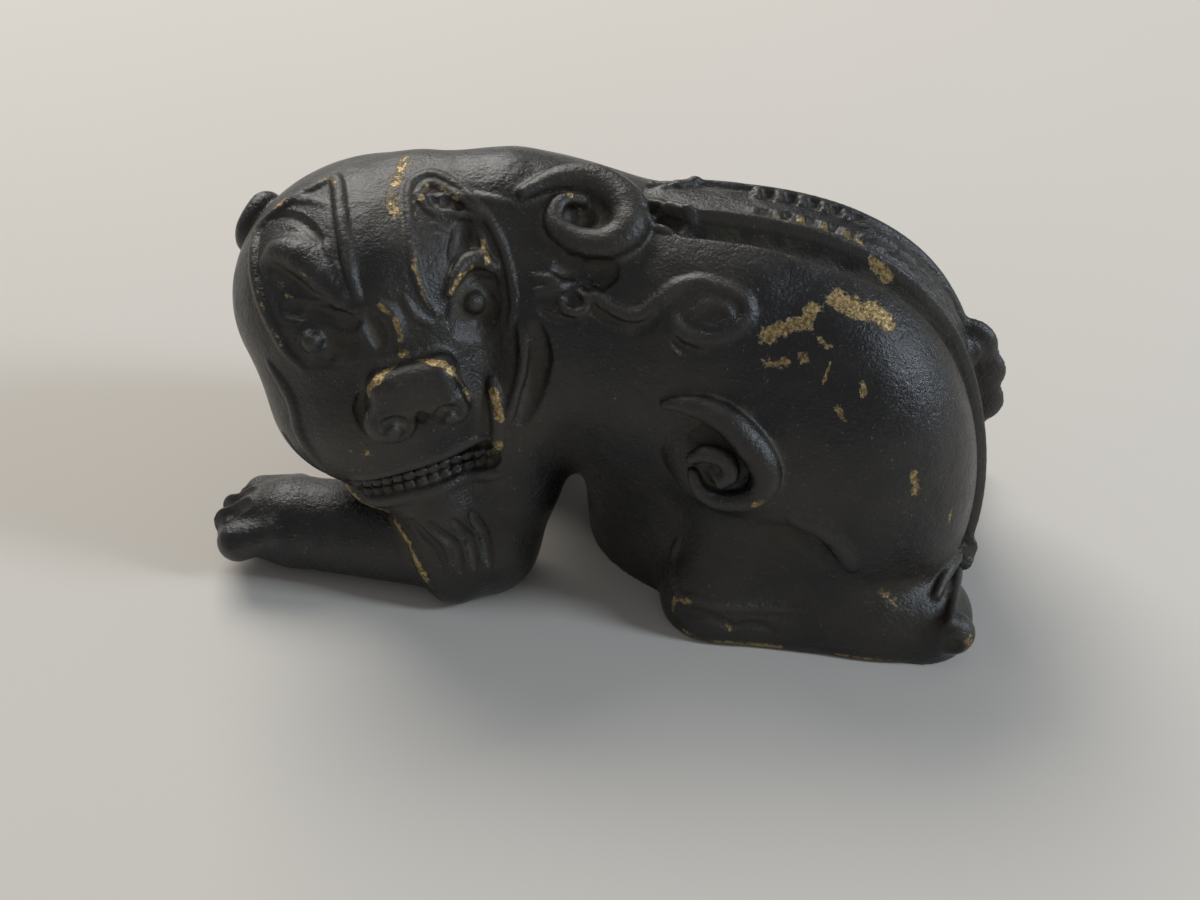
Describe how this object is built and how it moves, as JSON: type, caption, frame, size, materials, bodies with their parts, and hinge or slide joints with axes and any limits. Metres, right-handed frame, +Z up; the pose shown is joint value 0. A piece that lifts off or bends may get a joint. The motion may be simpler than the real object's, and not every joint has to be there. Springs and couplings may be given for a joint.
{
  "type": "foo dog statue",
  "caption": "Small solid cast brass statue of a lying guardian lion that turns its head to one side, with curled locks and a ridged spine.",
  "frame": {"origin": "middle of the footprint's bounding box, on the surface that the statue rests on", "axes": "+X along the body from the chest towards the rump, -Y towards the viewer that the face looks at (the lion's left flank), +Z up"},
  "size_m": [0.0736, 0.035, 0.0401],
  "materials": {
    "dark_patina": "cast brass under a dark, satin brown-black patina, with brass showing on the highest rubs",
    "worn_patina": "the same dark patina on raised details, rubbed thinner along their edges",
    "recess_patina": "the same dark patina, dull and dusty, in the recesses of the face"
  },
  "bodies": {
    "root": {"beard": "dark_patina", "head": "dark_patina", "left_brow": "worn_patina", "left_cheek_lock": "worn_patina", "left_ear": "worn_patina", "left_eye": "recess_patina", "left_foreleg": "dark_patina", "left_hind_foot": "dark_patina", "left_hock_tuft": "worn_patina", "left_knee_curl": "worn_patina", "left_mane_tip": "worn_patina", "left_shoulder_scroll": "worn_patina", "left_thigh": "dark_patina", "left_upper_arm": "dark_patina", "lower_jaw": "dark_patina", "nose": "worn_patina", "ribcage": "dark_patina", "right_brow": "worn_patina", "right_cheek_lock": "worn_patina", "right_ear": "worn_patina", "right_eye": "recess_patina", "right_foreleg": "dark_patina", "right_hind_foot": "dark_patina", "right_hock_tuft": "worn_patina", "right_knee_curl": "worn_patina", "right_mane_tip": "worn_patina", "right_shoulder_scroll": "worn_patina", "right_thigh": "dark_patina", "right_upper_arm": "dark_patina", "rump": "dark_patina", "spine_ridge": "worn_patina", "tail_tuft": "worn_patina", "teeth": "recess_patina"}
  },
  "joints": []
}
